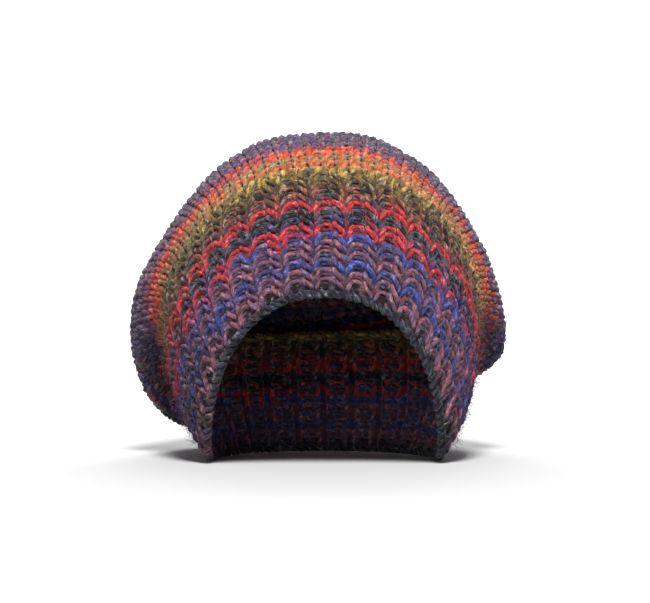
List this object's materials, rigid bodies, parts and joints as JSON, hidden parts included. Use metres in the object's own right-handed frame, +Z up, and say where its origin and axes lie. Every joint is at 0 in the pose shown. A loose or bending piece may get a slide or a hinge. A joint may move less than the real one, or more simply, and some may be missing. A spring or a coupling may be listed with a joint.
{
  "type": "knitted wool beret",
  "caption": "Slouchy hand-knitted wool beret with a rolled cast-on edge, a ribbed band and a plain-knit bag drawn together at the crown, kept in its worn form",
  "frame": {"origin": "on the ground under the middle of the hat's overall box", "axes": "+Z up, the brow faces -Y, the slouching bag hangs towards +Y, +X is at the right of the front view"},
  "size_m": [0.2559, 0.2715, 0.2175],
  "materials": {
    "edge_yarn": "fuzzy charcoal-blue wool",
    "band_yarn": "marled wool in mauve, blue, red and charcoal rows",
    "crown_yarn": "marled wool in olive, gold, orange, sage and violet rows"
  },
  "bodies": {
    "root": {"cast_on_edge": "edge_yarn", "ribbed_band": "band_yarn", "crown": "crown_yarn"}
  },
  "joints": []
}
